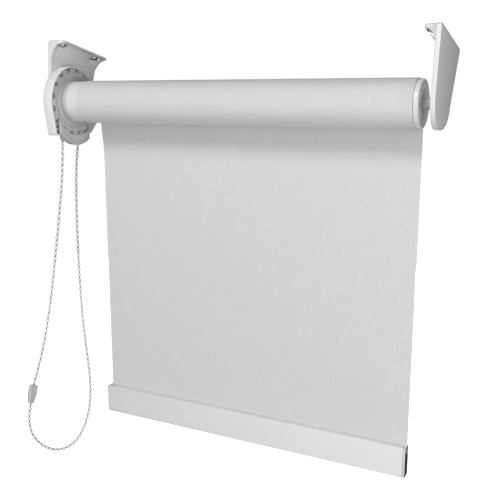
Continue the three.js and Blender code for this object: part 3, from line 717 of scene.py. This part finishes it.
def wheel():
    """Chain wheel: a far flange, a groove, and a notched near flange with a hollow band on its face."""
    groove = CHAIN_RADIUS - BEAD_RADIUS - GAP
    end = WHEEL_END
    shares = [0.06 * k for k in range(1, 17)]
    hollow = [(end - 1.5 * math.sin(math.pi * t) ** 0.8, 29.2 - 4.8 * t) for t in shares]
    face = [
        (end - 0.1, 36.3), (end, 36.0), (end, 33.6), (end - 0.35, 33.3), (end - 0.35, 32.7), (end, 32.4),
        (end, 29.5), *hollow, (end, 24.2), (end, 23.8), (end - 0.5, 23.6), (end - 0.5, 23.2),
        (end + 0.2, 22.9), (end + 0.3, 22.6), (end + 0.3, 13.0),
    ]
    profile = [
        (25, 9.3), (WHEEL_START, 9.3), (WHEEL_START, 36.3), (WHEEL_START + 0.3, 36.6),
        (WHEEL_START + 0.8, 36.6),
        (WHEEL_START + 1, 36.3), (WHEEL_START + 1.3, groove + 1.2), (WHEEL_START + 2.2, groove),
        (end - 4.2, groove), (end - 3.3, groove + 1.2), (end - 3, 36.3), (end - 2.8, 36.6), (end - 0.5, 36.6),
        *face, (49, 13.0), (49, 11.4), (25, 11.4),
    ]

    def notched(x, radius, angle):
        if x < end - 3.2 or radius < 31.6:
            return radius
        step = 2 * math.pi / NOTCHES
        off = ((angle / step) % 1 - 0.5) * step
        aside = NOTCH_CENTRE * math.sin(off)
        if abs(aside) >= NOTCH_RADIUS:
            return radius
        return min(radius, NOTCH_CENTRE * math.cos(off) - math.sqrt(NOTCH_RADIUS**2 - aside**2))

    made = mesh_object("chain_wheel_disc", lathe(closed(profile), 512, notched))
    return finish_piece(made, looks["grey_plastic"], "chain_wheel", "grey_plastic", "sprocket")


def sleeve():
    """Drive sleeve: a rim with fine teeth next to the tube, and the part that fits in it."""
    profile = [
        (12.9, 14.9), (12.9, 22.2), (13.1, 22.5), (13.5, 22.6), (15.9, 22.6), (16.3, 22.5), (16.9, 22.5),
        (17.1, 22.3), (17.1, 20.4), (61.5, 20.4), (62, 20), (62, 14.9),
    ]

    def toothed(x, radius, angle):
        return radius - 0.45 if 16.2 < x < 17.2 and radius > 22 and (angle * 72 / math.pi) % 2 < 0.8 else radius

    made = mesh_object("drive_sleeve_moulding", lathe(closed(profile), 288, toothed))
    return finish_piece(made, looks["grey_plastic"], "roller", "grey_plastic", "drive_sleeve")


housing()
guard()
wheel()
sleeve()


# ---------------------------------------------------------------- roller
def roller_tube():
    start, end = TUBE_START, FABRIC_END
    profile = [
        (start, 20.75), (start, 22.0), (start + 0.2, TUBE_RADIUS),
        (end - 0.2, TUBE_RADIUS), (end, 22.0), (end, 20.75),
    ]
    made = mesh_object("roller_tube_shell", lathe(closed(profile), 144))
    return finish_piece(made, looks["tube_aluminium"], "roller", "tube_aluminium", "roller_tube", "fabric_tape")


def fabric_roll():
    """One wrap of fabric on the tube, a little uneven, with a soft edge at each end."""
    start, end = FABRIC_START, FABRIC_END
    inner = TUBE_RADIUS + GAP - 0.05
    stations = [start + 0.25 + (end - start - 0.5) * k / 60 for k in range(61)]
    profile = [(start, inner), (start, ROLL_RADIUS - 0.2), *[(x, ROLL_RADIUS) for x in stations]]
    profile += [(end, ROLL_RADIUS - 0.2), (end, inner)]

    def uneven(x, radius, angle):
        if radius < ROLL_RADIUS - 0.1:
            return radius
        return radius + 0.07 * noise.noise(Vector((x / 45, 3 * math.cos(angle), 3 * math.sin(angle))))

    made = mesh_object("fabric_roll_wrap", lathe(closed(profile), 180, uneven))
    return finish_piece(made, looks["fabric_rolled"], "roller", "fabric", "fabric_roll")


def end_plug():
    """Idle end plug: a rim with a raised lip and two key slots, a recessed face and a bore for the bush."""
    face, web, rim = PLUG_FACE, PLUG_FACE - 0.8, 22.1
    start = FABRIC_END + GAP
    profile = [
        (359.5, 9), (359.5, 20), (360, 20.4), (start - 0.05, 20.4), (start - 0.05, rim - 0.3),
        (start + 0.25, rim),
        (face - 0.9, rim), (face - 0.45, rim - 0.12), (face - 0.12, rim - 0.45), (face, rim - 0.9),
        (face, 19.5), (face - 0.1, 19.2), (web + 0.2, 18.9), (web, 18.6), (web, 13.5), (web + 0.35, 13.2),
        (web + 0.35, 12.4), (web, 12.1), (web, 9.3), (web - 0.3, 9),
    ]
    made = mesh_object("idle_plug_moulding", lathe(closed(profile), 160))
    for angle in (62, 298):
        y, z = arc(rim, angle, 0, 1)[0]
        cut(made, block((401.2, 403.1), (y - 1.4, y + 1.4), (z - 1.2, z + 1.2)))
    return finish_piece(made, looks["housing_plastic"], "roller", "housing_plastic", "idle_end_plug")


def idle_pin():
    shoulder = IDLE_FACE - GAP
    profile = [
        (380.0, 2.0), (380.4, 2.4), (388.0, 2.4), (388.0, 8.2), (388.3, 8.5), (390.1, 8.5), (390.4, 8.2),
        (390.4, 5.5), (shoulder - 0.7, 5.5), (shoulder - 0.2, 5.3), (shoulder, 4.9), (shoulder, 3.5),
        (shoulder + 2.6, 3.5), (shoulder + 3.0, 3.3), (shoulder + 3.2, 2.9),
    ]
    made = mesh_object("idle_pin_moulding", lathe(profile, 96))
    return finish_piece(made, looks["grey_plastic"], "pin", "grey_plastic", "idle_pin")


def pin_spring():
    """The pin's spring, as its own copy of the CAD spring's mesh."""
    made = bpy.data.objects.new("pin_spring_wire", frame["nodes"]["pin_spring"].data.copy())
    bpy.context.scene.collection.objects.link(made)
    finish_piece(made, looks["spring_steel"], "roller", "spring_steel", "pin_spring", crease=50)
    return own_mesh(made)


roller_tube()
fabric_roll()
end_plug()
idle_pin()
pin_spring()


# ---------------------------------------------------------------- fabric
def flare(drop):
    """How far the sheet's edge on the control side stands out, by its distance below the axis."""
    rise = min(1, max(0, (62 - drop) / 40))
    fall = min(1, max(0, drop / 18))
    return 2.7 * rise * rise * (3 - 2 * rise) * fall * fall * (3 - 2 * fall)


def sheet():
    """Hanging fabric, as a thin closed cloth, from the roll's back down to the spline."""
    columns, rows = 92, 110
    half = FABRIC_THICKNESS / 2
    loops = []
    for row in range(rows + 1):
        drop = -SHEET_FOOT * row / rows
        steady = min(1, drop / 60) * min(1, (-SHEET_FOOT - drop) / 60)
        front, rear = [], []
        for column in range(columns + 1):
            across = column / columns
            x = FABRIC_START + FABRIC_WIDTH * across
            y = HEM_Y + 0.35 * steady * noise.noise(Vector((x / 110, 0, drop / 140)))
            x -= (1 - across) ** 6 * flare(drop)
            front.append((x, y - half, -drop))
            rear.append((x, y + half, -drop))
        loops.append([*front, *reversed(rear)])
    made = mesh_object("fabric_sheet_cloth", loft(loops))
    finish_piece(made, looks["fabric"], "brackets", "fabric", "fabric_sheet")
    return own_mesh(made)


sheet()


# ---------------------------------------------------------------- hem bar
def hem_outline(slotted=True, lip=True):
    """Section of the hem bar or a cap: rounded corners, and where asked a lip along the front foot and a
    slot down to the spline's room."""
    half, low = HEM_DEPTH / 2, HEM_TOP - HEM_HEIGHT
    corner = 1.6
    loop = [*arc(corner, 180, 270, 5, HEM_Y - half + corner, low + corner)]
    loop += arc(corner, 270, 360, 5, HEM_Y + half - corner, low + corner)
    loop += arc(corner, 0, 90, 5, HEM_Y + half - corner, HEM_TOP - corner)
    if slotted:
        side, room_radius = 0.75, 2.7
        opening = math.degrees(math.asin(side / room_radius))
        room = arc(room_radius, 90 - opening, -270 + opening, 24, HEM_Y, SPLINE_Z)
        loop += [Vector((HEM_Y + side, HEM_TOP)), *room, Vector((HEM_Y - side, HEM_TOP))]
    loop += arc(corner, 90, 180, 5, HEM_Y - half + corner, HEM_TOP - corner)
    if lip:
        front = HEM_Y - half
        steps = [(front, 3.4), (front + 0.45, 3.2), (front + 0.45, 2.6), (front, 2.4)]
        loop += [Vector((y, low + up)) for y, up in steps]
    return loop


def build_hem():
    bar = mesh_object("hem_bar_profile", slab(hem_outline(), HEM_START, HEM_END, 0.12, 2))
    finish_piece(bar, looks["hem_aluminium"], "hem", "hem_aluminium", "hem_bar", crease=28)
    left, right = HEM_START - GAP, HEM_END + GAP
    plain_cap = slab(hem_outline(False, False), left - CAP_WIDTH, left, 0.5)
    control = mesh_object("hem_cap_moulding_control", plain_cap)
    finish_piece(control, looks["cap_plastic"], "hem", "cap_plastic", "hem_cap_control")
    idle = mesh_object("hem_cap_moulding_idle", slab(hem_outline(True, False), right, right + CAP_WIDTH, 0.2))
    finish_piece(idle, looks["cap_plastic"], "hem", "cap_plastic", "hem_cap_idle")
    # The cap's outer end face, the faces pointing along +X, gets the near-black material: painted shade on that
    # face.
    idle.data.materials.append(looks["cap_face_painted_shade"])
    for face in idle.data.polygons:
        face.material_index = int(face.normal.x > 0.9)


build_hem()

# ---------------------------------------------------------------- pieces that keep their own shape
KEPT = {
    "dark_plastic": ["clutch_core"],
    "grey_plastic": ["pin_bush", "hem_spline"],
    "screw_steel": ["core_washer", "core_screw", "clutch_bolt"],
    "spring_steel": ["wrap_spring_1", "wrap_spring_2"],
}
for slot, names in KEPT.items():
    for name in names:
        mesh = frame["nodes"][name].data
        mesh.materials.clear()
        mesh.materials.append(looks[slot])


# ---------------------------------------------------------------- stage, light and camera
def area_light(name, spot, target, size, power):
    light = bpy.data.lights.new(name, "AREA")
    light.shape, light.size, light.energy = "DISK", size, power
    made = bpy.data.objects.new(name, light)
    made.location = spot
    made.rotation_euler = (Vector(target) - Vector(spot)).to_track_quat("-Z", "Y").to_euler()
    bpy.context.scene.collection.objects.link(made)


FLOOR_Z, FLOOR_REACH = -0.62, 9.0


def build_floor():
    """Pale floor that the camera sees, but that neither lights the object nor shows in it."""
    low, high = -FLOOR_REACH, FLOOR_REACH
    points = [(low, low, FLOOR_Z), (high, low, FLOOR_Z), (high, high, FLOOR_Z), (low, high, FLOOR_Z)]
    made = mesh_object("floor", (points, [(0, 1, 2, 3)]), Matrix.Identity(4))
    material, tree, shader = principled("floor_paint", (0.92, 0.92, 0.92), 0.9)
    grain = speckle(tree, add_node(tree, "TexCoord").outputs["Object"], 6, 3)
    tree.links.new(tint(tree, grain, (0.91, 0.91, 0.91), (0.94, 0.94, 0.94)), shader.inputs["Base Color"])
    shader.inputs["Emission Color"].default_value = (1, 1, 1, 1)
    shader.inputs["Emission Strength"].default_value = 0.9
    made.data.materials.append(material)
    made.visible_diffuse = made.visible_glossy = made.visible_transmission = False


def build_world():
    """White backdrop for the camera; for the object, bright in front and below, and dim behind and above."""
    world = bpy.data.worlds.new("studio")
    world.use_nodes = True
    tree = world.node_tree
    shader = tree.nodes["Background"]
    ray = add_node(tree, "LightPath").outputs["Is Camera Ray"]
    axes = add_node(tree, "SeparateXYZ", {0: add_node(tree, "TexCoord").outputs["Generated"]})
    front_side = between(tree, axes.outputs["Y"], 0.42, 0.03, (-0.7, 0.25))
    above = between(tree, axes.outputs["Z"], 1.9, 1.0, (-0.9, -0.1))
    glow = math_node(tree, "MULTIPLY", front_side, above)
    strength = math_node(tree, "MAXIMUM", glow, math_node(tree, "MULTIPLY", ray, 1.05))
    tree.links.new(strength, shader.inputs["Strength"])
    shader.inputs["Color"].default_value = (1, 1, 1, 1)
    bpy.context.scene.world = world


def build_camera():
    """The photo's view, with the place and lens that were fitted to its outlines."""
    camera = bpy.data.cameras.new("camera")
    camera.lens = 53.03
    camera.sensor_width = 36
    camera.shift_x, camera.shift_y = -0.0006, 0.0042
    camera.clip_start, camera.clip_end = 0.01, 60
    made = bpy.data.objects.new("camera", camera)
    made.location = (0.5552, -0.6831, -0.0521)
    made.rotation_euler = (math.radians(77.96), 0, math.radians(26.79))
    bpy.context.scene.collection.objects.link(made)
    bpy.context.scene.camera = made


build_floor()
build_world()
build_camera()
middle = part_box("fabric_sheet")[0].lerp(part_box("fabric_sheet")[1], 0.5)
area_light("key", middle + Vector((-0.2, -1.35, 1.3)), middle, 0.6, 13.5)
area_light("fill", middle + Vector((1.35, -1.05, -0.1)), middle, 1.2, 15)
area_light("rear", middle + Vector((-0.5, 1.7, -0.1)), middle, 1.3, 26)
bpy.context.scene.view_settings.view_transform = "Standard"
